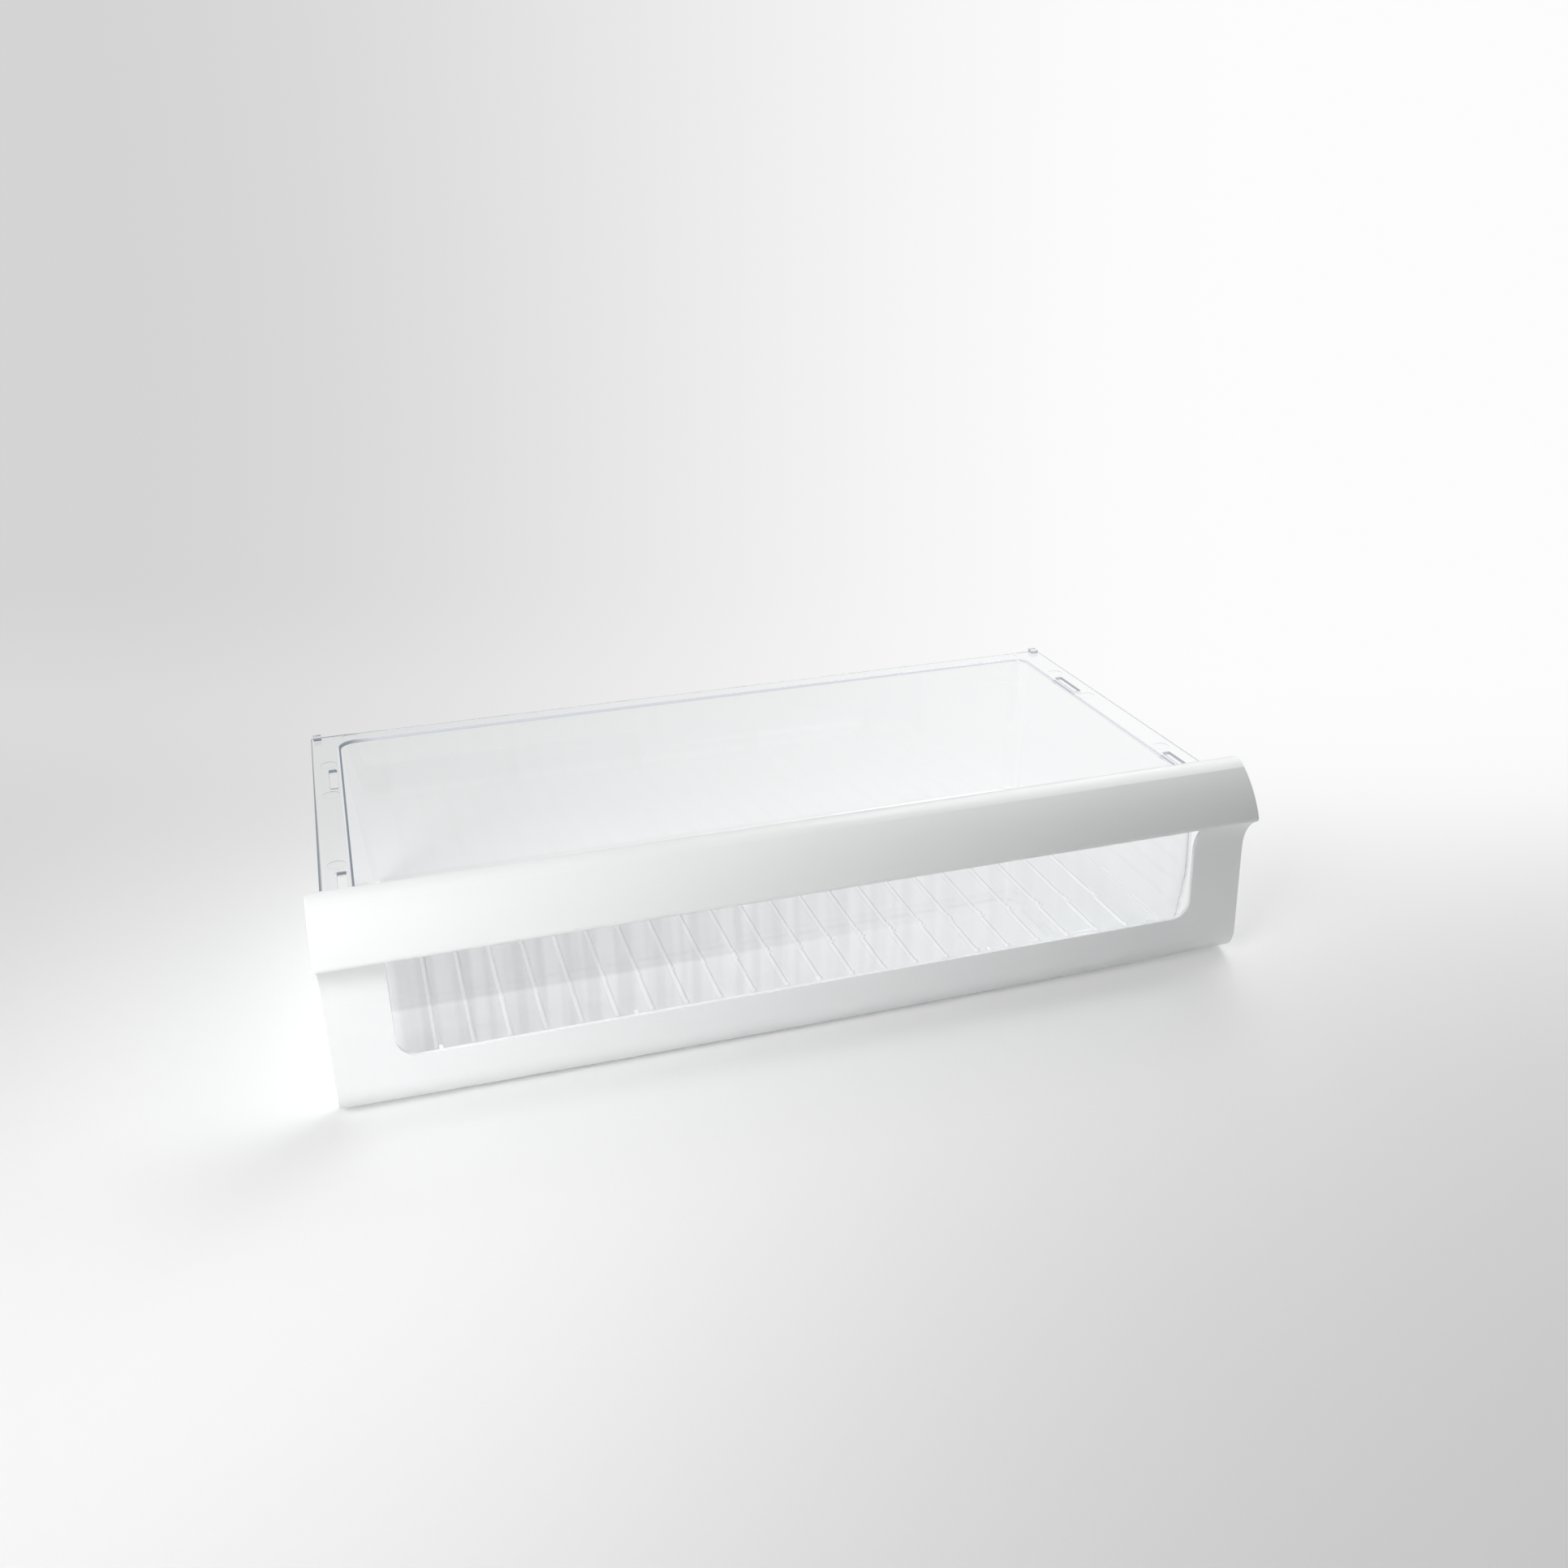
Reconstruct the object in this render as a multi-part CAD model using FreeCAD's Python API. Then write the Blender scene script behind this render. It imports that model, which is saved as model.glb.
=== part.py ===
import FreeCAD, Part
import math
import os

V = FreeCAD.Vector

# A wide clear refrigerator pan with a white front that clips onto its rim.
# Sizes are in mm. X runs across the drawer, Y from front to back, Z up.
# The origin is under the middle of the drawer, level with the lowest edge of the white front.

drawer_width = 660.0           # end to end of the handle
drawer_depth = 348.8           # lip of the handle to the back edge of the rim
under_gap = 12.5               # underside of the pan above the front's lowest edge

# Clear pan
inside_depth = 123.7           # rim to floor
wall = 2.6
wall_draft = 4.3               # degrees, side and rear walls
corner_radius = 12.0           # upright inside corners
floor_radius = 3.0             # inside, side and rear edges of the floor
front_floor_radius = 24.0      # inside, where the floor sweeps up into the front wall
front_low_lean = 5.0           # degrees forward, floor to crease
front_high_lean = 7.5          # degrees back, crease to rim
crease_height = 54.0           # above the floor
crease_radius = 30.0

# Rim of the pan
flange_thickness = 2.4
flange_inset = 8.0             # side edge of the rim inside the handle's end
side_flange = 21.9             # reach beyond the opening
rear_flange = 15.3
flange_corner = 3.5
rim_round = 2.0

# Floor ribs
rib_pitch = 24.9
rib_margin = 25.0              # least space beside the outermost ribs
rib_width = 4.4                # across its foot
rib_height = 1.3
rib_crown = 1.2                # radius along the top
rib_slope = 1.6                # length of the sloped ends
rib_end_gap = 1.0              # rear end of a rib in front of the round at the rear wall

# Slots in the side flanges, each with a thin collar underneath
slot_width = 6.2
slot_length = 37.0
slot_round = 1.3
slot_inset = 7.2               # centre line beyond the opening
slot_spacing = 181.0
rear_slot_place = 91.4         # centre of the rear slot in front of the rim's back edge
collar_border = 1.4
collar_side_border = 1.9
collar_drop = 0.9

# Stop nubs at the rear corners
nub_width = 6.0
nub_length = 7.5
nub_height = 2.8
nub_inset = 5.0                # from the flange's side edge to the nub's middle

# Shallow round ejector marks on the rim
mark_diameter = 12.5
mark_depth = 0.2
side_mark_inset = 9.9
side_mark_places = (61.9, 121.9, 242.4)
rear_mark_count = 5
rear_mark_inset = 30.0         # outermost rear marks from the rim's side edges
rear_mark_place = 7.6          # middle of the rear marks in front of the rim's back edge

# White front: handle
handle_rise = 16.4             # top of the handle above the pan's rim
handle_overhang = 4.7          # back of the handle behind the pan's front wall at the rim
handle_corner = 8.8            # rear corners, seen from above
handle_edge = 2.2              # round along the top of the skirt
handle_end_edge = 1.3          # round along the outline of each end
skin = 2.8
roll_flat = 2.5
roll_back_radius = 20.5
roll_back_turn = 35.5
roll_front_radius = 73.3
roll_front_turn = 30.5
lip_radius = 3.0
lip_turn = 80.0

# White front: frame below the handle
frame_inset = 1.7              # inside the handle's end
frame_reach = 20.0             # depth of the bottom flange and the end walls
sweep_radius = 30.0            # hollow sweep under the lip
face_tilt = 2.0                # degrees, the face leans forward towards the bottom
foot_radius = 19.0
bow = 2.4                      # rise of the bottom edge from its middle to its ends
post_width = 40.3
window_sill = 40.6
window_corner = 14.0

# Snap hooks under the handle, and cradle ribs behind the bottom bar
hook_count = 5
hook_margin = 60.1             # outermost hooks from the side walls
hook_width = 16.0
hook_thickness = 2.0
hook_place = 9.0               # middle of the hooks in front of the pan's wall at the rim
catch_reach = 1.2
catch_height = 3.0
cradle_count = 5
cradle_margin = 40.1
cradle_thickness = 2.4
cradle_top_gap = 3.0           # below the window sill
fit_gap = 0.25                 # between the front and the pan wherever they seat

# Heights and places worked out from the sizes above
floor_z = under_gap + wall
rim_z = floor_z + inside_depth
handle_top = rim_z + handle_rise
back_y = drawer_depth / 2
flange_x = drawer_width / 2 - flange_inset
opening_x = flange_x - side_flange
frame_x = drawer_width / 2 - frame_inset
window_x = frame_x - post_width
lip_heading = roll_back_turn + roll_front_turn
face_heading = 90 - face_tilt


def sin(degrees):
    return math.sin(math.radians(degrees))


def cos(degrees):
    return math.cos(math.radians(degrees))


def tan(degrees):
    return math.tan(math.radians(degrees))


back_round_reach = roll_back_radius * sin(roll_back_turn)
front_round_reach = roll_front_radius * (sin(lip_heading) - sin(roll_back_turn))
lip_reach = lip_radius * (1 - sin(lip_heading))
handle_back = -back_y + roll_flat + back_round_reach + front_round_reach + lip_reach
front_rim_y = handle_back - handle_overhang


def box(x0, x1, y0, y1, z0, z1):
    """A block between two corners."""
    return Part.makeBox(x1 - x0, y1 - y0, z1 - z0, V(x0, y0, z0))


def extrude(edges, half_width):
    """A closed run of edges in the YZ plane, drawn out evenly to both sides of the middle."""
    face = Part.Face(Part.Wire(edges))
    solid = face.extrude(V(2 * half_width, 0, 0))
    solid.translate(V(-half_width, 0, 0))
    return solid


def line(start, end):
    return Part.LineSegment(start, end).toShape()


def upright_edges(block):
    """The four upright edges of a plain block."""
    middle = block.BoundBox.Center.z
    return [edge for edge in block.Edges if abs(edge.CenterOfMass.z - middle) < 0.01]


def spread(count, reach):
    """Places of an evenly spaced row, from one side of the middle to the other."""
    return [reach * (2 * i / (count - 1) - 1) for i in range(count)]


# The pan's basin

def rear_wall_y(z, grow):
    return back_y - rear_flange + grow / cos(wall_draft) - (rim_z - z) * tan(wall_draft)


def side_wall_x(z, grow):
    return opening_x + grow / cos(wall_draft) - (rim_z - z) * tan(wall_draft)


def rounded_corner(before, corner, after, radius):
    """Start, middle and end of the arc that rounds a corner."""
    a = (before - corner).normalize()
    b = (after - corner).normalize()
    angle = a.getAngle(b)
    reach = radius / math.tan(angle / 2)
    bisector = (a + b).normalize()
    middle = corner + bisector * (radius / math.sin(angle / 2) - radius)
    return corner + a * reach, middle, corner + b * reach


def basin_section(grow, top):
    """Side view of the basin, grown outwards, with its creased front wall."""
    crease_z = floor_z + crease_height
    crease_y = front_rim_y - inside_depth * tan(front_high_lean) + crease_height * tan(front_high_lean)
    low_shift = grow / cos(front_low_lean)
    high_shift = grow / cos(front_high_lean)
    lift = (high_shift - low_shift) / (tan(front_low_lean) + tan(front_high_lean))
    bottom = floor_z - grow
    top_front = V(0, crease_y - high_shift + (top - crease_z) * tan(front_high_lean), top)
    crease = V(0, crease_y - high_shift + lift * tan(front_high_lean), crease_z + lift)
    toe = V(0, crease_y - low_shift + (crease_z - bottom) * tan(front_low_lean), bottom)
    heel = V(0, rear_wall_y(bottom, grow), bottom)
    top_rear = V(0, rear_wall_y(top, grow), top)
    c0, c1, c2 = rounded_corner(top_front, crease, toe, crease_radius + grow)
    t0, t1, t2 = rounded_corner(crease, toe, heel, front_floor_radius + grow)
    return [
        line(top_front, c0),
        Part.Arc(c0, c1, c2).toShape(),
        line(c2, t0),
        Part.Arc(t0, t1, t2).toShape(),
        line(t2, heel),
        line(heel, top_rear),
        line(top_rear, top_front),
    ]


def side_trim(grow, top):
    """The space between the drafted side walls."""
    low = floor_z - grow - wall
    corners = [
        V(-side_wall_x(low, grow), -drawer_depth, low),
        V(side_wall_x(low, grow), -drawer_depth, low),
        V(side_wall_x(top, grow), -drawer_depth, top),
        V(-side_wall_x(top, grow), -drawer_depth, top),
    ]
    return Part.Face(Part.makePolygon(corners + corners[:1])).extrude(V(0, 2 * drawer_depth, 0))


def edge_radii(edge, grow):
    """Fillet radii at the two ends of one edge of the sharp basin, or None."""
    bottom = floor_z - grow
    small = floor_radius + grow
    large = corner_radius + grow
    place = edge.CenterOfMass
    heights = [vertex.Z for vertex in edge.Vertexes]
    on_side = all(abs(abs(v.X) - side_wall_x(v.Z, grow)) < 0.01 for v in edge.Vertexes)
    on_floor = max(heights) < bottom + 0.01
    if on_floor:
        return (small, small) if on_side or place.y > 0 else None
    if not on_side or max(heights) - min(heights) < 0.5:
        return None
    if min(heights) < bottom + 0.01 and place.y < 0:
        return (small, large) if heights[0] < heights[1] else (large, small)
    return (large, large)


def basin(grow, top):
    """The basin as a filled block, grown outwards, with every inside round it has."""
    sharp = extrude(basin_section(grow, top), drawer_width).common(side_trim(grow, top))
    picks = []
    for number, edge in enumerate(sharp.Edges, 1):
        radii = edge_radii(edge, grow)
        if radii:
            picks.append((number, radii[0], radii[1]))
    document = FreeCAD.newDocument("basin")
    base = document.addObject("Part::Feature", "sharp")
    base.Shape = sharp
    rounded = document.addObject("Part::Fillet", "rounded")
    rounded.Base = base
    rounded.Edges = picks
    document.recompute()
    shape = rounded.Shape.copy()
    FreeCAD.closeDocument(document.Name)
    return shape


# The skin of the white front is one smooth run of arcs and lines in the YZ plane.
# A heading of 0 points forward, 90 down and 180 back. A leg is (radius, turn) or (None, length).

def onward(heading):
    return V(0, -cos(heading), -sin(heading))


def inward(heading):
    return V(0, sin(heading), -cos(heading))


def walk(start, heading, legs, inset):
    """Edges along the legs, set in by inset, with the last point and heading of the run itself."""
    point = start
    edges = []
    for radius, amount in legs:
        first = point + inward(heading) * inset
        if radius is None:
            point = point + onward(heading) * amount
            edges.append(line(first, point + inward(heading) * inset))
            continue
        side = math.copysign(1, amount)
        centre = point + inward(heading) * radius * side
        middle = centre + inward(heading + amount / 2) * (inset - radius * side)
        heading += amount
        point = centre - inward(heading) * radius * side
        edges.append(Part.Arc(first, middle, point + inward(heading) * inset).toShape())
    return edges, point, heading


roll_legs = [
    (None, roll_flat),
    (roll_back_radius, roll_back_turn),
    (roll_front_radius, roll_front_turn),
    (lip_radius, lip_turn),
]
roll_start = V(0, handle_back, handle_top)
lip_end = walk(roll_start, 0, roll_legs, 0)[1]
sweep_turn = face_heading - lip_heading - lip_turn
sweep_legs = [(sweep_radius, sweep_turn)]
sweep_end = walk(lip_end, lip_heading + lip_turn, sweep_legs, 0)[1]
foot_drop = foot_radius * (1 + cos(face_heading))
face_length = (sweep_end.z - foot_drop) / sin(face_heading)
face_end = sweep_end + onward(face_heading) * face_length
split_z = (window_sill + foot_drop) / 2


def last_point(edges):
    return edges[-1].Vertexes[-1].Point


def first_point(edges):
    return edges[0].Vertexes[0].Point


def roll_section(inset):
    """The handle's section: the roll, closed behind by the skirt and open below."""
    edges = walk(roll_start, 0, roll_legs, inset)[0]
    corner = V(0, handle_back - inset, handle_top - inset)
    flat_end = edges[0].Vertexes[1].Point
    end = last_point(edges)
    if inset:
        tail = V(0, corner.y, end.z)
        return [line(corner, flat_end)] + edges[1:] + [line(end, tail), line(tail, corner)]
    knee = V(0, frame_back(), end.z)
    tail = V(0, corner.y, rim_z - flange_thickness)
    c0, c1, c2 = rounded_corner(tail, corner, flat_end, handle_edge)
    rear = [line(end, knee), line(knee, tail), line(tail, c0)]
    return [Part.Arc(c0, c1, c2).toShape(), line(c2, flat_end)] + edges[1:] + rear


def frame_back():
    """The back edge of the bottom flange and of the end walls."""
    return face_end.y + frame_reach


def upper_section(inset, reach):
    """The frame's section from the lip down to the level where the bowed bar begins."""
    edges, point, heading = walk(lip_end, lip_heading + lip_turn, sweep_legs, inset)
    start = first_point(edges)
    face_start = last_point(edges)
    drop = (face_start.z - split_z) / sin(face_heading)
    foot = face_start + onward(face_heading) * drop
    back = frame_back() + reach
    corner_low = V(0, back, split_z)
    corner_high = V(0, back, start.z)
    run = [line(face_start, foot), line(foot, corner_low), line(corner_low, corner_high)]
    return edges + run + [line(corner_high, start)]


def bowed_bar(inset, reach, half_width):
    """The bottom of the frame, swung about an axis square to its face so that its edge is bowed."""
    spare = bow + wall
    start = face_end - onward(face_heading) * (split_z + spare)
    length = split_z + spare
    back = frame_back() + reach
    legs = [(None, length), (foot_radius, 180 - face_heading)]
    edges = walk(start, face_heading, legs, inset)[0]
    toe = last_point(edges)
    head = first_point(edges)
    corner_low = V(0, back, toe.z)
    corner_high = V(0, back, head.z)
    run = [line(toe, corner_low), line(corner_low, corner_high), line(corner_high, head)]
    face = Part.Face(Part.Wire(edges + run))
    bow_radius = frame_x ** 2 / (2 * bow) + bow / 2
    centre = face_end - onward(face_heading) * (bow_radius - foot_drop)
    swing = math.degrees(math.asin((half_width + skin) / bow_radius))
    face.rotate(centre, inward(face_heading), -swing)
    solid = face.revolve(centre, inward(face_heading), 2 * swing)
    keep = box(-half_width, half_width, -drawer_depth, drawer_depth, -drawer_depth, split_z)
    return solid.common(keep)


def frame_block(inset, reach):
    """The frame below the lip as a filled block, set in by inset."""
    half_width = frame_x - inset
    upper = extrude(upper_section(inset, reach), half_width)
    return upper.fuse(bowed_bar(inset, reach, half_width)).removeSplitter()


def edges_at(shape, test):
    return [edge for edge in shape.Edges if all(test(vertex.Point) for vertex in edge.Vertexes)]


def plan(inset):
    """The space inside the handle's outline seen from above, with its rounded rear corners."""
    side = drawer_width / 2 - inset
    rear = handle_back - inset
    block = box(-side, side, -drawer_depth, rear, 0, handle_top + skin)
    rear_edges = edges_at(block, lambda p: p.y > rear - 0.01)
    uprights = [edge for edge in rear_edges if abs(edge.CenterOfMass.x) > side - 0.01]
    return block.makeFillet(handle_corner - inset, uprights)


def roll_block(inset):
    """The handle as a filled block, with its rear corners rounded in plan."""
    half = drawer_width / 2 - inset
    block = extrude(roll_section(inset), half)
    if not inset:
        block = round_end(round_end(block, -half), half)
    return block.common(plan(inset))


def round_end(block, x):
    """Rounds the outline of the handle's end at x, from the lip over the roll to the skirt."""
    outline = [edge for edge in block.Edges if abs(edge.CenterOfMass.x - x) < 0.01]
    return block.makeFillet(handle_end_edge, [e for e in outline if isinstance(e.Curve, Part.Circle)])


def window():
    """The opening between the posts, from the sill up to the underside of the lip."""
    half = window_x
    top = lip_end.z
    block = box(-half, half, -back_y - wall, frame_back() - skin, window_sill, top)
    uprights = edges_at(block, lambda p: p.z < window_sill + 0.01)
    corners = [e for e in uprights if abs(e.CenterOfMass.x) > half - 0.01]
    return block.makeFillet(window_corner, corners)


def hook(x):
    """A blade that hangs from the roll through the pan's front flange, with its catch."""
    y = front_rim_y - hook_place
    half = hook_width / 2
    under = rim_z - flange_thickness - fit_gap
    tip = under - catch_height
    blade = box(x - half, x + half, y - hook_thickness / 2, y + hook_thickness / 2, tip, handle_top)
    front = y - hook_thickness / 2
    corners = [V(x - half, front, under), V(x - half, front - catch_reach, under), V(x - half, front, tip)]
    catch = Part.Face(Part.makePolygon(corners + corners[:1])).extrude(V(hook_width, 0, 0))
    return blade.fuse(catch)


def cradle(x, bar, pan_space):
    """A rib behind the bottom bar that follows the pan's front corner."""
    half = cradle_thickness / 2
    top = window_sill - cradle_top_gap
    slab = box(x - half, x + half, -drawer_depth, drawer_depth, -skin, top)
    return slab.common(bar).cut(pan_space)


def white_front():
    """The handle, posts, bottom bar, hooks and cradle ribs, moulded as one."""
    handle = roll_block(0)
    frame = frame_block(0, 0)
    outside = handle.fuse(frame)
    inside = roll_block(skin).fuse(frame_block(skin, frame_reach / 4))
    shell = outside.cut(inside).cut(window())
    rim_space = box(-flange_x - fit_gap * 3, flange_x + fit_gap * 3, handle_back - 2 * skin,
                    handle_back + skin, 0, rim_z + fit_gap)
    shell = shell.cut(rim_space)
    pan_space = basin(wall + fit_gap, rim_z)
    extras = [hook(x).common(handle) for x in spread(hook_count, opening_x - hook_margin)]
    extras += [cradle(x, frame, pan_space) for x in spread(cradle_count, opening_x - cradle_margin)]
    return shell.fuse(extras).removeSplitter()


# The pan

def roll_inside_y(z):
    """Where the underside of the roll lies at a height."""
    legs = roll_legs[:2]
    start, heading = walk(roll_start, 0, legs, 0)[1:]
    centre = start + inward(heading) * roll_front_radius
    radius = roll_front_radius - skin
    return centre.y - math.sqrt(radius ** 2 - (z - centre.z) ** 2)


def flange_plate():
    """The flat rim, which runs forward under the handle."""
    front = roll_inside_y(rim_z) + fit_gap
    plate = box(-flange_x, flange_x, front, back_y, rim_z - flange_thickness, rim_z)
    return plate.makeFillet(flange_corner, upright_edges(plate))


def rounded_block(x, y, width, length, z0, z1, radius):
    """An upright block with rounded corners in plan."""
    block = box(x - width / 2, x + width / 2, y - length / 2, y + length / 2, z0, z1)
    return block.makeFillet(radius, upright_edges(block))


def slot_places():
    """Centres of the four rail slots."""
    x = opening_x + slot_inset
    rear = back_y - rear_slot_place
    return [(side * x, rear - step * slot_spacing) for side in (-1, 1) for step in (0, 1)]


def slot(x, y):
    depth = flange_thickness + collar_drop
    return rounded_block(x, y, slot_width, slot_length, rim_z - 2 * depth, rim_z + depth, slot_round)


def collar(x, y):
    """The thin raised border under a slot."""
    low = rim_z - flange_thickness - collar_drop
    width = slot_width + 2 * collar_border
    length = slot_length + 2 * collar_side_border
    return rounded_block(x, y, width, length, low, rim_z - flange_thickness / 2, slot_round + collar_border)


def nub(side):
    """A stop that stands on the rear corner of the side flange."""
    x = side * (flange_x - nub_inset)
    y = back_y - nub_length / 2
    return box(x - nub_width / 2, x + nub_width / 2, y - nub_length / 2, y + nub_length / 2,
               rim_z - flange_thickness, rim_z + nub_height)


def marks():
    """Shallow discs left by the ejector pins."""
    side_x = opening_x + side_mark_inset
    places = [(side * side_x, back_y - place) for side in (-1, 1) for place in side_mark_places]
    places += [(x, back_y - rear_mark_place) for x in spread(rear_mark_count, flange_x - rear_mark_inset)]
    return [Part.makeCylinder(mark_diameter / 2, wall, V(x, y, rim_z - mark_depth)) for x, y in places]


def rib_places():
    """As many ribs as the floor has room for, on their pitch."""
    room = 2 * (side_wall_x(floor_z, 0) - rib_margin)
    steps = int(room / rib_pitch)
    return spread(steps + 1, steps * rib_pitch / 2)


def rib_section(x, y):
    """Section of a floor rib: two straight flanks under a round crown, closed inside the floor."""
    reach = rib_width / 2
    drop = rib_height - rib_crown
    centre = V(x, y, floor_z + drop)
    slope = math.degrees(math.atan(drop / reach) + math.asin(rib_crown / math.hypot(reach, drop)))
    crown = V(x, y, floor_z + rib_height)
    waists = [centre + V(side * sin(slope), 0, cos(slope)) * rib_crown for side in (-1, 1)]
    feet = [V(x + side * reach, y, floor_z) for side in (-1, 1)]
    roots = [V(foot.x, y, floor_z - wall / 4) for foot in feet]
    return Part.Face(Part.Wire([
        line(roots[0], feet[0]),
        line(feet[0], waists[0]),
        Part.Arc(waists[0], crown, waists[1]).toShape(),
        line(waists[1], feet[1]),
        line(feet[1], roots[1]),
        line(roots[1], roots[0]),
    ]))


def rib(x):
    """One floor rib, sloped at both ends, from the front sweep to the round at the rear wall."""
    crease_y = front_rim_y - (inside_depth - crease_height) * tan(front_high_lean)
    front = crease_y + crease_height * tan(front_low_lean) + front_floor_radius
    rear = rear_wall_y(floor_z, 0) - floor_radius - rib_end_gap
    bar = rib_section(x, front).extrude(V(0, rear - front, 0))
    crown_z = floor_z + rib_height
    for end, inner in ((front, front + rib_slope), (rear, rear - rib_slope)):
        corners = [V(x - rib_width, end, floor_z), V(x - rib_width, end, crown_z), V(x - rib_width, inner, crown_z)]
        slope = Part.Face(Part.makePolygon(corners + corners[:1])).extrude(V(2 * rib_width, 0, 0))
        bar = bar.cut(slope)
    return bar


def hook_slot(x):
    """The hole in the front flange that a hook passes through."""
    play = 2 * fit_gap
    back = front_rim_y - hook_place + hook_thickness / 2 + fit_gap
    front = front_rim_y - hook_place - hook_thickness / 2 - catch_reach - fit_gap
    half = hook_width / 2 + play
    return box(x - half, x + half, front, back, rim_z - 2 * flange_thickness, rim_z + wall)


def clear_pan():
    """The basin, rim, ribs, slots, nubs and marks, moulded as one."""
    solids = [flange_plate(), nub(-1), nub(1)]
    solids += [collar(x, y) for x, y in slot_places()]
    body = basin(wall, rim_z).fuse(solids).removeSplitter()
    body = body.cut(basin(0, rim_z + wall))
    inside_x = opening_x + 0.5
    rim_edges = edges_at(body, lambda p: abs(p.z - rim_z) < 0.01 and abs(p.x) < inside_x
                         and front_rim_y - 0.5 < p.y < back_y - rear_flange + 0.5)
    body = body.makeFillet(rim_round, rim_edges)
    body = body.fuse([rib(x) for x in rib_places()])
    cuts = [slot(x, y) for x, y in slot_places()]
    cuts += [hook_slot(x) for x in spread(hook_count, opening_x - hook_margin)]
    cuts += marks()
    return body.cut(cuts).removeSplitter()


os.makedirs("parts", exist_ok=True)
clear_pan().exportStep("parts/clear_tub.step")
white_front().exportStep("parts/handle_front.step")
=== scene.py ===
import math
import bpy
from mathutils import Matrix, Vector


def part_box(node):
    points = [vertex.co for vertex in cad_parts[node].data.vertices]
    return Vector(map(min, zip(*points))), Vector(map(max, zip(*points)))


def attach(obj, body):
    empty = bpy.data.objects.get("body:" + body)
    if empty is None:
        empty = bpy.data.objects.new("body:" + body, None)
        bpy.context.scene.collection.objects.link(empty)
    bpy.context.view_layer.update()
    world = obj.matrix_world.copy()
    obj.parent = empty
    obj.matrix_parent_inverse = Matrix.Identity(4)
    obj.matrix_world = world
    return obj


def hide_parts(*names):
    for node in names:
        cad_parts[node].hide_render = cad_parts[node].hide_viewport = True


# A clear refrigerator pan with a white front, on a pale table. All sizes are in metres.
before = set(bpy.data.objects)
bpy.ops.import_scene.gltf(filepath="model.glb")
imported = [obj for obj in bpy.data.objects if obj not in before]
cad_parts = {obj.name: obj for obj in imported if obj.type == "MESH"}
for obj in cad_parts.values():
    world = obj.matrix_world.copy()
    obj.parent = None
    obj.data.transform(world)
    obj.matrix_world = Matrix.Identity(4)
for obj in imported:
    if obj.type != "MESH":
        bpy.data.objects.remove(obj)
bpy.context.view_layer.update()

# Camera. Its angles are in degrees, and its lens and sensor in millimetres.
CAMERA_PLACE = (-0.2812, -1.0031, 0.5826)
CAMERA_AZIMUTH = 16.90      # to the right of straight ahead
CAMERA_DOWN = 23.79
CAMERA_ROLL = -1.04
LENS = 34.08
SENSOR = 36.0

# The drawer stands on the front's lower edge and on the pan's rear bottom edge, so the table is
# tipped in the drawer's own frame. Each place is (y, z).
FRONT_CONTACT = (-0.143, 0.0)
REAR_CONTACT = (0.147, 0.0125)

# Table and backdrop
FLOOR_NEAR = -2.6
FLOOR_TURN = 1.6            # where the table starts to sweep up into the backdrop
SWEEP_RADIUS = 1.4
SWEEP_STEPS = 24
BACKDROP_TOP = 3.6
BACKDROP_HALF = 5.0

# Tones of the table, its painted light and shade, and of the world
NEAR_LEFT_TONE = 0.91
NEAR_RIGHT_TONE = 0.66
MIDDLE_LEFT_TONE = 0.76
FAR_LEFT_TONE = 0.66
FAR_RIGHT_TONE = 0.98
# The table's colour to the lamps, darker at the left: painted shade that offsets the key lamp's stronger
# light there
LEFT_PAINT = 0.865
RIGHT_PAINT = 0.955
HORIZON = 0.78              # past the table's edge
SKY_LOW = 0.03
SKY_HIGH = 0.12

# Places on the pan, worked out from its box
PAN_LOW, PAN_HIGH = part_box("clear_tub")
NUB_HEIGHT = 0.0028
RIM_THICKNESS = 0.0024
FLOOR_THICKNESS = 0.0026
RIB_PITCH = 0.0249
RIB_WIDTH = 0.0044
RIB_HEIGHT = 0.0013
CREASE_HEIGHT = 0.054       # above the floor
RIM_TOP = PAN_HIGH[2] - NUB_HEIGHT
RIM_UNDER = RIM_TOP - RIM_THICKNESS
FLOOR_TOP = PAN_LOW[2] + FLOOR_THICKNESS
CREASE = FLOOR_TOP + CREASE_HEIGHT
FRONT_WALL = -0.128         # the floor's front end
FRONT_WALL_TURN = 0.012     # how far the wall's painted reflection takes to set in, forward of that end
LEFT_TURN = (-0.298, -0.27)         # x where the left edges give way to the rear ones
RIGHT_TURN = (0.3026, 0.3028)       # x where the rear edges give way to the right ones
RIB_FADE = (0.10, 0.13)             # y where the ribs' painted light ends, short of the rear wall

# White plastic
WHITE_DARK = (0.855, 0.872, 0.872, 1.0)
WHITE_LIGHT = (0.875, 0.888, 0.886, 1.0)
WHITE_ROUGHNESS = (0.24, 0.39)
PEEL_SCALE = 900.0
PEEL_DEPTH = 0.00002
WAVE_SCALE = 9.0
WAVE_DEPTH = 0.0006
WAVE_STRETCH = (1.0, 3.0, 3.0)

# Clear plastic
CLEAR_TINT = (0.985, 0.992, 0.995, 1.0)
CLEAR_SHADOW = (0.89, 0.90, 0.905, 1.0)
CLEAR_ROUGHNESS = (0.01, 0.03)
HAZE_SCALE = 160.0
HAZE_STRETCH = (1.0, 0.25, 1.0)
# The front wall's painted reflection and shade, which make it greyer
FRONT_REFLECTION_COLOUR = (0.99, 0.993, 1.0, 1.0)
FRONT_TONE = 0.89
UPPER_SHADE = 0.10          # painted shade on the front wall above its crease, at the left
BAND_SHADES = (0.02, 0.08)  # the front wall's soft bands of painted reflection, at the right and at the left
BAND_SCALE = 85.0
UPRIGHT = (1.0, 0.0, 0.0)   # the bands change only across the drawer
BLACK = (0.0, 0.0, 0.0, 1.0)
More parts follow.
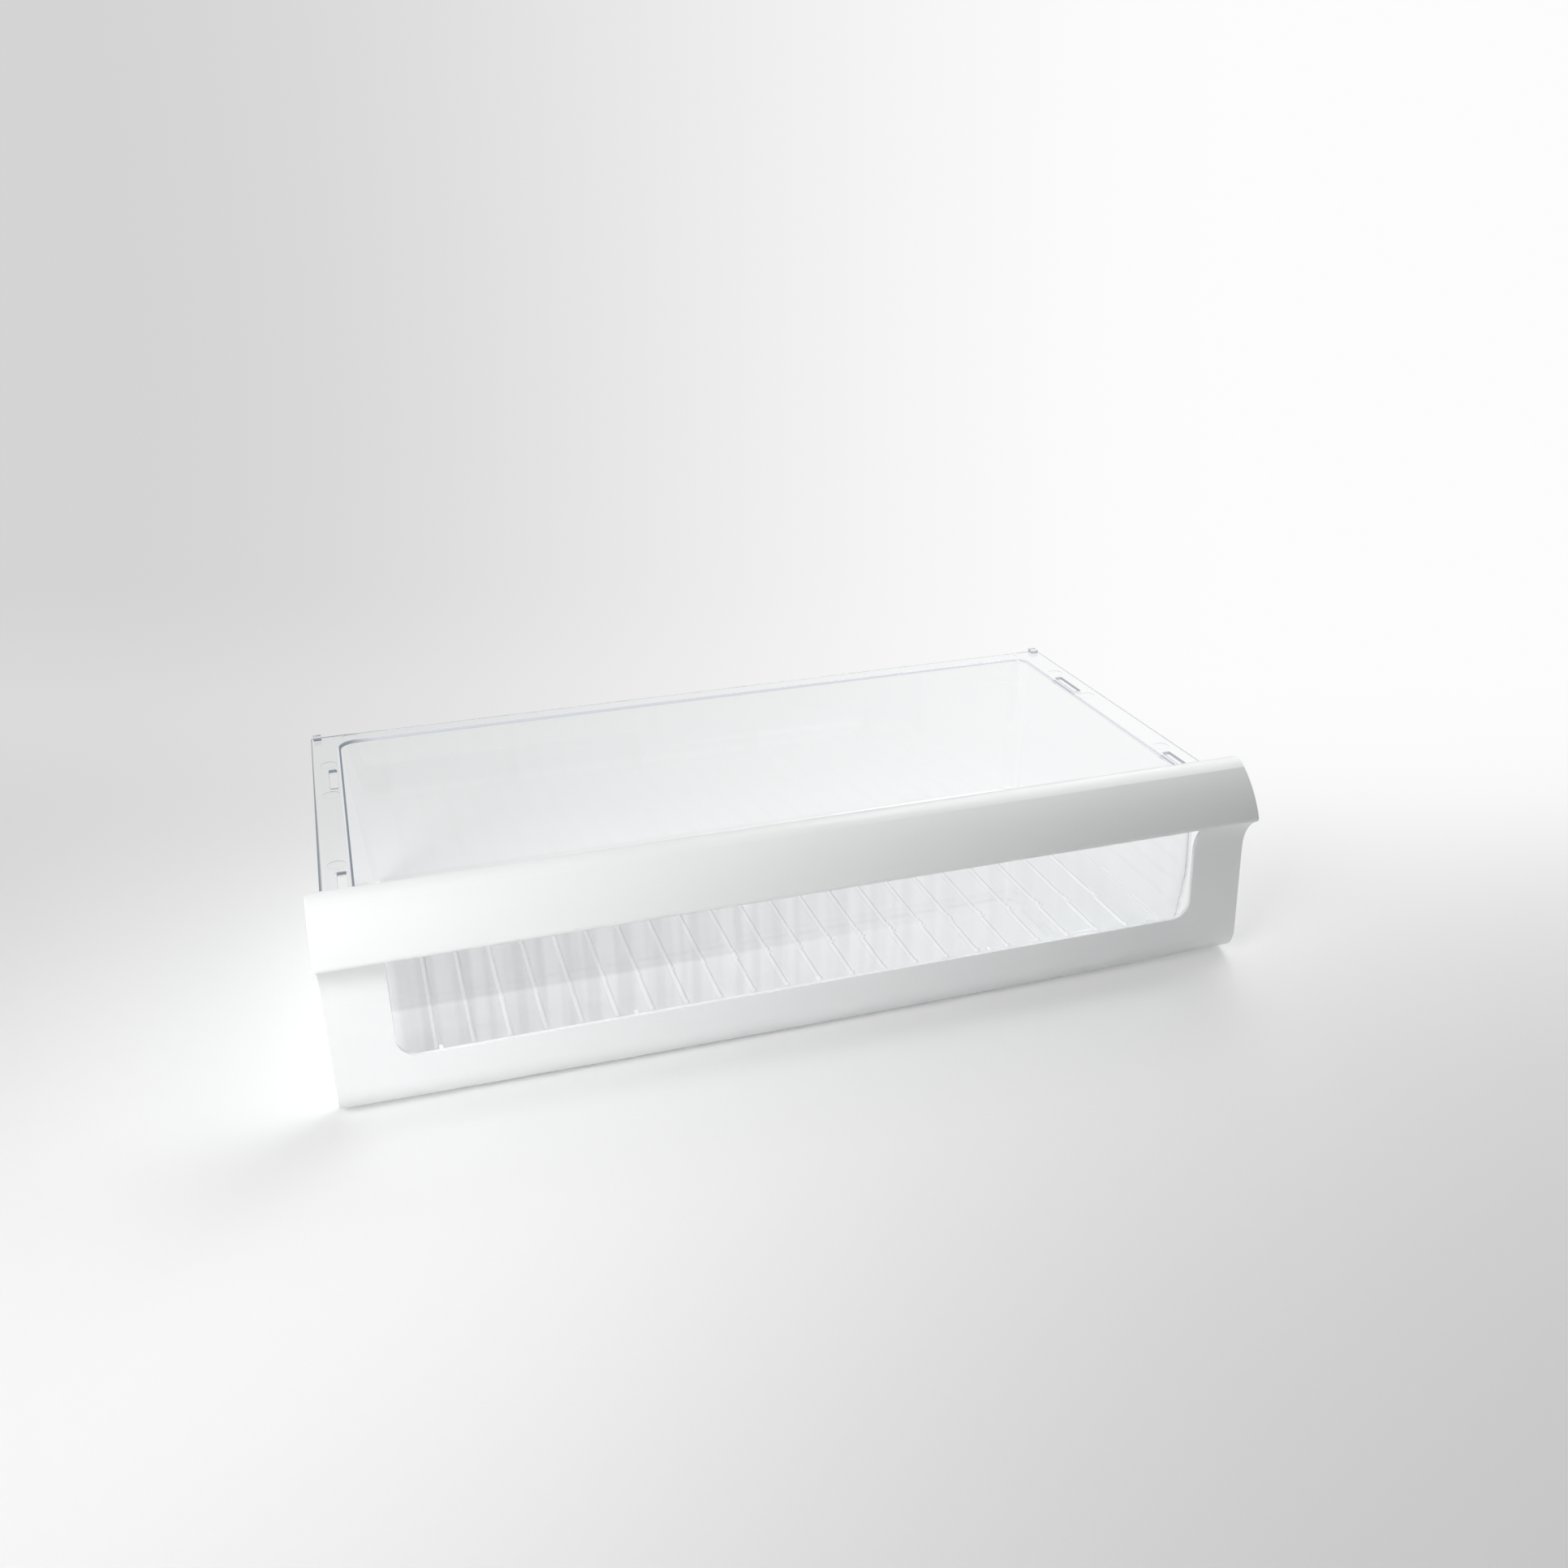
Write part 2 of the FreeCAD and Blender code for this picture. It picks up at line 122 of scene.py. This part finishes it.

# A painted glow standing in for light caught inside the clear sheet, seen where it has been turned back
# more than this many times.
PIPED_DEPTH = 1.5
PIPED_LIGHT = (0.80, 0.83, 0.86, 1.0)

# Painted light and shade at the clear sheet's edges and ribs, a glow standing in for light that leaves it
# there, and how strongly it shows
LEFT_EDGE = (0.20, 0.23, 0.27, 1.0)
FAR_EDGE = (0.58, 0.60, 0.66, 1.0)
RIGHT_EDGE = (0.40, 0.41, 0.46, 1.0)
# The ribs' painted highlight, painted shade line and painted grey reflection
RIB_BRIGHT = (1.0, 1.0, 1.0, 1.0)
RIB_DIM = (0.56, 0.56, 0.61, 1.0)
RIB_MIRRORED = (0.74, 0.745, 0.74, 1.0)
LEFT_SHARE = 0.9
FAR_SHARE = 0.55
RIGHT_SHARE = 0.7
NUB_SHARE = 0.35
OUTLINE_SHARE = 0.85
BRIGHT_SHARE = 0.9
DIM_SHARE = 0.5
MIRRORED_SHARE = 0.85

# A mix node's sockets for colours, which have the same names as its sockets for numbers
MIX_FIRST, MIX_SECOND, MIX_RESULT = 6, 7, 2


def in_radians(*angles):
    return [math.radians(angle) for angle in angles]


def add(tree, kind, inputs=None, **settings):
    """A shader node with its settings and the values or links of its inputs."""
    node = tree.nodes.new(kind)
    for name, value in settings.items():
        setattr(node, name, value)
    for name, value in (inputs or {}).items():
        socket = node.inputs[name]
        if isinstance(value, bpy.types.NodeSocket):
            tree.links.new(value, socket)
        else:
            socket.default_value = value
    return node


def new_material(name):
    made = bpy.data.materials.new(name)
    made.use_nodes = True
    made.node_tree.nodes.clear()
    return made


def noise(tree, vector, scale, detail=2.0):
    return add(tree, "ShaderNodeTexNoise", {"Vector": vector, "Scale": scale, "Detail": detail}).outputs[0]


def stretched(tree, scale):
    """Object coordinates, scaled along each axis."""
    place = add(tree, "ShaderNodeTexCoord").outputs["Object"]
    return add(tree, "ShaderNodeMapping", {"Vector": place, "Scale": scale}).outputs[0]


def ramp(tree, value, low, high, to_low, to_high, smooth=True):
    kind = "SMOOTHSTEP" if smooth else "LINEAR"
    inputs = {"Value": value, "From Min": low, "From Max": high, "To Min": to_low, "To Max": to_high}
    return add(tree, "ShaderNodeMapRange", inputs, interpolation_type=kind).outputs[0]


def maths(tree, kind, first, second=0.0, clamp=False):
    inputs = {0: first, 1: second}
    return add(tree, "ShaderNodeMath", inputs, operation=kind, use_clamp=clamp).outputs[0]


def product(tree, first, *others):
    for other in others:
        first = maths(tree, "MULTIPLY", first, other)
    return first


def between(tree, factor, first, second):
    """A number between two others."""
    inputs = {"Factor": factor, "A": first, "B": second}
    return add(tree, "ShaderNodeMix", inputs, data_type="FLOAT").outputs[0]


def blended(tree, factor, first, second):
    """A colour between two others."""
    inputs = {"Factor": factor, MIX_FIRST: first, MIX_SECOND: second}
    return add(tree, "ShaderNodeMix", inputs, data_type="RGBA").outputs[MIX_RESULT]


def grey(tree, tone):
    return add(tree, "ShaderNodeCombineColor", {0: tone, 1: tone, 2: tone}).outputs[0]


def bump(tree, height, distance, strength, normal=None):
    inputs = {"Height": height, "Distance": distance, "Strength": strength}
    if normal is not None:
        inputs["Normal"] = normal
    return add(tree, "ShaderNodeBump", inputs).outputs[0]


def glow(tree, colour):
    return add(tree, "ShaderNodeEmission", {"Color": colour, "Strength": 1.0}).outputs[0]


def mixed(tree, factor, first, second):
    """A shader between two others."""
    return add(tree, "ShaderNodeMixShader", {0: factor, 1: first, 2: second}).outputs[0]


def split(tree, vector):
    return add(tree, "ShaderNodeSeparateXYZ", {"Vector": vector}).outputs


def light_path(tree):
    return add(tree, "ShaderNodeLightPath").outputs


def seen_directly(tree, path):
    """One for what the camera sees, by itself or through the clear sheet."""
    return maths(tree, "ADD", path["Is Camera Ray"], path["Is Transmission Ray"], clamp=True)


def white_plastic():
    """Smooth semi-gloss moulded plastic with a faint orange peel."""
    made = new_material("white_shell")
    tree = made.node_tree
    fine = noise(tree, stretched(tree, (1.0, 1.0, 1.0)), PEEL_SCALE)
    broad = noise(tree, stretched(tree, WAVE_STRETCH), WAVE_SCALE)
    peel = bump(tree, fine, PEEL_DEPTH, strength=0.5)
    waves = bump(tree, broad, WAVE_DEPTH, strength=0.25, normal=peel)
    shader = add(tree, "ShaderNodeBsdfPrincipled", {
        "Base Color": blended(tree, broad, WHITE_DARK, WHITE_LIGHT),
        "Roughness": ramp(tree, broad, 0.1, 0.9, *WHITE_ROUGHNESS, smooth=False),
        "Normal": waves,
        "IOR": 1.5,
        "Subsurface Weight": 0.12,
        "Subsurface Radius": (0.004, 0.004, 0.004),
        "Subsurface Scale": 0.5,
    })
    add(tree, "ShaderNodeOutputMaterial", {"Surface": shader.outputs[0]})
    return made


def upright_edges(tree, x, z, up):
    """How strongly the painted shade of the upright edges shows: the rim's outline, the slots and the
    round into the basin.
    """
    level, steep = 0.995, 0.9       # the upward part of a face's direction
    upright = ramp(tree, maths(tree, "ABSOLUTE", up), level, steep, 0.0, 1.0)
    in_rim = maths(tree, "GREATER_THAN", z, RIM_UNDER)
    share = ramp(tree, x, *LEFT_TURN, LEFT_SHARE, FAR_SHARE)
    # The rear edge's painted shade grows paler towards the right.
    fade_start, fade_end, least = -0.2, 0.295, 0.3
    share = product(tree, share, ramp(tree, x, fade_start, fade_end, 1.0, least, smooth=False))
    share = maths(tree, "MAXIMUM", share, ramp(tree, x, *RIGHT_TURN, 0.0, RIGHT_SHARE))
    nub_start, nub_end = RIM_TOP + 0.0001, RIM_TOP + 0.0003
    share = product(tree, share, ramp(tree, z, nub_start, nub_end, 1.0, NUB_SHARE))
    return product(tree, upright, in_rim, share)


def left_outline(tree, x, y, z):
    """Painted shade on the outer left edge, for light turned away over its whole thickness, more towards
    the front.
    """
    rear_end, front_end = 0.17, -0.12
    rear_width, front_width = 0.0008, 0.0024
    core = 0.35                     # share of the width that shows in full
    inset = maths(tree, "SUBTRACT", x, PAN_LOW[0])
    width = ramp(tree, y, rear_end, front_end, rear_width, front_width)
    outline = ramp(tree, maths(tree, "DIVIDE", inset, width), 1.0, core, 0.0, OUTLINE_SHARE)
    return product(tree, outline, maths(tree, "GREATER_THAN", z, RIM_UNDER))


def painted_edge_shades(tree, x):
    # Painted shade: darkest at the left edges, palest at the rear.
    on_right = ramp(tree, x, *RIGHT_TURN, 0.0, 1.0)
    past_left = ramp(tree, x, *LEFT_TURN, 0.0, 1.0)
    return blended(tree, past_left, LEFT_EDGE, blended(tree, on_right, FAR_EDGE, RIGHT_EDGE))


def ribs_alone(tree, x, z):
    """One on the floor's ribs, a hair wider than they are, and nought elsewhere."""
    hair, side_hair, top_hair = 0.00005, 0.0002, 0.0004
    half_pitch = RIB_PITCH / 2
    off_middle = maths(tree, "SUBTRACT", half_pitch, maths(tree, "PINGPONG", x, half_pitch))
    above = maths(tree, "GREATER_THAN", z, FLOOR_TOP + hair)
    below = maths(tree, "LESS_THAN", z, FLOOR_TOP + RIB_HEIGHT + top_hair)
    near = maths(tree, "LESS_THAN", off_middle, RIB_WIDTH / 2 + side_hair)
    return product(tree, above, below, near)


def painted_rib_light(tree, x, y, on_rib, across, path):
    """How strongly the ribs' painted light shows and in what colour: a painted highlight on one flank, a
    thin line of painted shade on the other.
    In a mirror image they fade into a painted grey reflection."""
    # A face gets the painted highlight or the painted shade by how far it faces right.
    bright_from, bright_to = 0.25, -0.1
    dim_from, dim_to = 0.33, 0.5
    bright = product(tree, on_rib, ramp(tree, across, bright_from, bright_to, 0.0, BRIGHT_SHARE))
    dim = product(tree, on_rib, ramp(tree, across, dim_from, dim_to, 0.0, DIM_SHARE))
    # The painted dim lines are weaker towards the left.
    weak_end, full_start, weakest = -0.25, 0.15, 0.3
    dim = product(tree, dim, ramp(tree, x, weak_end, full_start, weakest, 1.0))
    colour = blended(tree, maths(tree, "GREATER_THAN", dim, bright), RIB_BRIGHT, RIB_DIM)
    mirrored = maths(tree, "GREATER_THAN", path["Glossy Depth"], 0.5)
    colour = blended(tree, mirrored, colour, RIB_MIRRORED)
    faded = product(tree, on_rib, mirrored, MIRRORED_SHARE)
    shown = product(tree, maths(tree, "ADD", bright, dim), ramp(tree, y, *RIB_FADE, 1.0, 0.0))
    return maths(tree, "MAXIMUM", shown, faded), colour


def tint_and_painted_reflection(tree, x, y, z):
    """Nearly clear, but for the front wall, which is seen on a slant and gets a painted reflection and
    shade that make it a little greyer.
    """
    in_front = ramp(tree, y, FRONT_WALL - FRONT_WALL_TURN, FRONT_WALL, 1.0, 0.0)
    # Less so towards the right.
    full_end, weak_start, weakest = 0.12, 0.28, 0.3
    in_front = product(tree, in_front, ramp(tree, x, full_end, weak_start, 1.0, weakest))
    # Above its crease the painted shade is darker at the left, and the wall carries soft upright bands of
    # painted reflection.
    crease_round = 0.0015
    above = ramp(tree, z, CREASE - crease_round, CREASE + crease_round, 0.0, UPPER_SHADE)
    upper_right, upper_left = 0.2, -0.2
    upper = product(tree, above, ramp(tree, x, upper_right, upper_left, 0.0, 1.0))
    bands = noise(tree, stretched(tree, UPRIGHT), BAND_SCALE, detail=1.0)
    band_low, band_high = 0.38, 0.62
    bands = ramp(tree, bands, band_low, band_high, 0.0, 1.0)
    bands_right, bands_left = 0.25, -0.25
    bands = product(tree, bands, ramp(tree, x, bands_right, bands_left, *BAND_SHADES))
    tone = maths(tree, "SUBTRACT", maths(tree, "SUBTRACT", FRONT_TONE, upper), bands)
    return blended(tree, in_front, CLEAR_TINT, blended(tree, tone, BLACK, FRONT_REFLECTION_COLOUR))


def clear_plastic():
    """Water-clear moulded plastic: real refraction, painted glow and shade for light piped to its ribs and
    edges, and a soft shadow.
    """
    made = new_material("clear_shell")
    tree = made.node_tree
    x, y, z = split(tree, add(tree, "ShaderNodeTexCoord").outputs["Object"])
    facing = split(tree, add(tree, "ShaderNodeNewGeometry").outputs["Normal"])
    across, up = facing[0], facing[2]
    path = light_path(tree)

    # Painted light and shade on the edges and ribs, shown as glow over the clear plastic
    edges = maths(tree, "MAXIMUM", upright_edges(tree, x, z, up), left_outline(tree, x, y, z))
    on_rib = ribs_alone(tree, x, z)
    ribs, rib_colour = painted_rib_light(tree, x, y, on_rib, across, path)
    painted_share = maths(tree, "ADD", edges, ribs, clamp=True)
    painted_colour = blended(tree, on_rib, painted_edge_shades(tree, x), rib_colour)

    fine = noise(tree, stretched(tree, HAZE_STRETCH), HAZE_SCALE)
    shader = add(tree, "ShaderNodeBsdfPrincipled", {
        "Base Color": tint_and_painted_reflection(tree, x, y, z),
        "Roughness": ramp(tree, fine, 0.35, 0.75, *CLEAR_ROUGHNESS),
        "IOR": 1.57,
        "Transmission Weight": 1.0,
    })
    # Past that depth the sheet shows a painted glow instead of the light it would carry.
    lost = maths(tree, "GREATER_THAN", path["Glossy Depth"], PIPED_DEPTH)
    lit = mixed(tree, lost, shader.outputs[0], glow(tree, PIPED_LIGHT))
    marked = mixed(tree, painted_share, lit, glow(tree, painted_colour))
    open_way = add(tree, "ShaderNodeBsdfTransparent", {"Color": CLEAR_SHADOW})
    both = mixed(tree, path["Is Shadow Ray"], marked, open_way.outputs[0])
    add(tree, "ShaderNodeOutputMaterial", {"Surface": both})
    return made


def dressed(node, name, material, body="root"):
    """A copy of a CAD piece in the same shape, with its own material."""
    piece = bpy.data.objects.new(name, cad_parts[node].data.copy())
    bpy.context.scene.collection.objects.link(piece)
    piece.data.materials.clear()
    piece.data.materials.append(material)
    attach(piece, body)
    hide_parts(node)


def sweep_line():
    """Points (y, z) along the table and up the backdrop."""
    points = [(FLOOR_NEAR, 0.0), (FLOOR_TURN, 0.0)]
    for i in range(1, SWEEP_STEPS + 1):
        angle = math.pi / 2 * i / SWEEP_STEPS
        y = FLOOR_TURN + SWEEP_RADIUS * math.sin(angle)
        points.append((y, SWEEP_RADIUS * (1 - math.cos(angle))))
    points.append((FLOOR_TURN + SWEEP_RADIUS, BACKDROP_TOP))
    return points


def backdrop():
    """The table and the backdrop in one sheet, tipped to meet the drawer's two contacts."""
    rows = sweep_line()
    vertices = [(x, y, z) for y, z in rows for x in (-BACKDROP_HALF, BACKDROP_HALF)]
    faces = [(2 * i, 2 * i + 1, 2 * i + 3, 2 * i + 2) for i in range(len(rows) - 1)]
    mesh = bpy.data.meshes.new("table")
    mesh.from_pydata(vertices, [], faces)
    mesh.shade_smooth()
    table = bpy.data.objects.new("table", mesh)
    bpy.context.scene.collection.objects.link(table)
    rise = REAR_CONTACT[1] - FRONT_CONTACT[1]
    run = REAR_CONTACT[0] - FRONT_CONTACT[0]
    tip = Matrix.Rotation(math.atan2(rise, run), 4, "X")
    hinge = Matrix.Translation((0.0, *FRONT_CONTACT))
    table.matrix_world = hinge @ tip @ hinge.inverted()
    mesh.materials.append(table_material())


def painted_table_light(tree, right, away):
    """Painted light and shade on the table: lighter at the near left and the far right."""
    reach = 1.5                     # how far in front of the drawer the shading's lines meet
    near_span = (-0.2, 0.28)
    left_span = (0.0, 0.9)
    far_slants = (-0.38, 0.27)
    turn_span = (-0.25, 0.25)
    near = ramp(tree, right, *near_span, NEAR_LEFT_TONE, NEAR_RIGHT_TONE)
    left = ramp(tree, away, *left_span, MIDDLE_LEFT_TONE, FAR_LEFT_TONE)
    slant = maths(tree, "DIVIDE", right, maths(tree, "ADD", away, reach))
    far = ramp(tree, slant, *far_slants, left, FAR_RIGHT_TONE)
    return between(tree, ramp(tree, away, *turn_span, 0.0, 1.0), near, far)


def table_material():
    """Pale seamless table. To the eye it shows painted light and shade, and it is plain paint to the
    lamps.
    """
    made = new_material("table")
    tree = made.node_tree
    place = add(tree, "ShaderNodeNewGeometry").outputs["Position"]
    turn = {"Vector": place, "Axis": (0.0, 0.0, 1.0), "Angle": math.radians(CAMERA_AZIMUTH)}
    right, away = split(tree, add(tree, "ShaderNodeVectorRotate", turn).outputs[0])[:2]
    # Darker at the left: painted shade against the key lamp's stronger light there.
    paint_span = (-0.35, 0.35)
    paint = ramp(tree, right, *paint_span, LEFT_PAINT, RIGHT_PAINT)
    surface = add(tree, "ShaderNodeBsdfDiffuse", {"Color": grey(tree, paint)})
    path = light_path(tree)
    direct = seen_directly(tree, path)
    seen = maths(tree, "ADD", direct, path["Is Glossy Ray"], clamp=True)
    # Near the drawer its lamps' light and shadow show in part, more in front of it than behind it; the
    # rest is painted light and shade.
    shadow_span, least = (-0.3, 0.5), 0.2
    share = product(tree, seen, ramp(tree, away, *shadow_span, least, 1.0))
    # Far from the drawer, beyond the lamps' reach, the table shows only its painted light and shade.
    distance = add(tree, "ShaderNodeVectorMath", {0: place}, operation="LENGTH").outputs["Value"]
    lamp_reach = (1.1, 1.9)
    share_far = product(tree, direct, ramp(tree, distance, *lamp_reach, 0.0, 1.0))
    share = maths(tree, "MAXIMUM", share, share_far)
    both = mixed(tree, share, surface.outputs[0], glow(tree, grey(tree, painted_table_light(tree, right, away))))
    add(tree, "ShaderNodeOutputMaterial", {"Surface": both})
    return made


def camera():
    data = bpy.data.cameras.new("camera")
    data.lens = LENS
    data.sensor_width = SENSOR
    view = bpy.data.objects.new("camera", data)
    bpy.context.scene.collection.objects.link(view)
    turn, tilt, roll = in_radians(-CAMERA_AZIMUTH, 90 - CAMERA_DOWN, CAMERA_ROLL)
    facing = Matrix.Rotation(turn, 4, "Z") @ Matrix.Rotation(tilt, 4, "X") @ Matrix.Rotation(roll, 4, "Z")
    view.matrix_world = Matrix.Translation(CAMERA_PLACE) @ facing
    bpy.context.scene.camera = view


def soft_box(name, place, target, size, watts, spread=180.0):
    """A soft rectangular lamp that faces its target. Its spread is in degrees."""
    data = bpy.data.lights.new(name, "AREA")
    data.shape = "RECTANGLE"
    data.size, data.size_y = size
    data.energy = watts
    data.spread = math.radians(spread)
    lamp = bpy.data.objects.new(name, data)
    bpy.context.scene.collection.objects.link(lamp)
    look = (Vector(target) - Vector(place)).to_track_quat("-Z", "Y").to_matrix().to_4x4()
    lamp.matrix_world = Matrix.Translation(place) @ look
    lamp.visible_camera = False


def sky():
    """Faint light from above that falls off towards the horizon, and a pale look past the table's edge."""
    world = bpy.data.worlds.new("studio")
    world.use_nodes = True
    tree = world.node_tree
    tree.nodes.clear()
    height = split(tree, add(tree, "ShaderNodeTexCoord").outputs["Generated"])[2]
    strength = ramp(tree, height, 0.1, 0.9, SKY_LOW, SKY_HIGH)
    strength = between(tree, seen_directly(tree, light_path(tree)), strength, HORIZON)
    light = add(tree, "ShaderNodeBackground", {"Color": (1.0, 1.0, 1.0, 1.0), "Strength": strength})
    add(tree, "ShaderNodeOutputWorld", {"Surface": light.outputs[0]})
    bpy.context.scene.world = world


def lights():
    soft_box("key", place=(-0.95, -0.85, 1.0), target=(-0.25, -0.15, 0.06), size=(0.8, 0.8), watts=7.5)
    soft_box("side", place=(-0.9, -0.8, 0.6), target=(-0.35, -0.17, 0.1), size=(0.6, 0.6), watts=1.2,
             spread=60.0)
    soft_box("top", place=(0.9, 0.4, 1.2), target=(0.2, 0.0, 0.0), size=(1.2, 1.0), watts=14.4)
    sky()


dressed("clear_tub", "pan", clear_plastic())
dressed("handle_front", "front", white_plastic())
backdrop()
camera()
lights()
bpy.context.scene.view_settings.view_transform = "Standard"
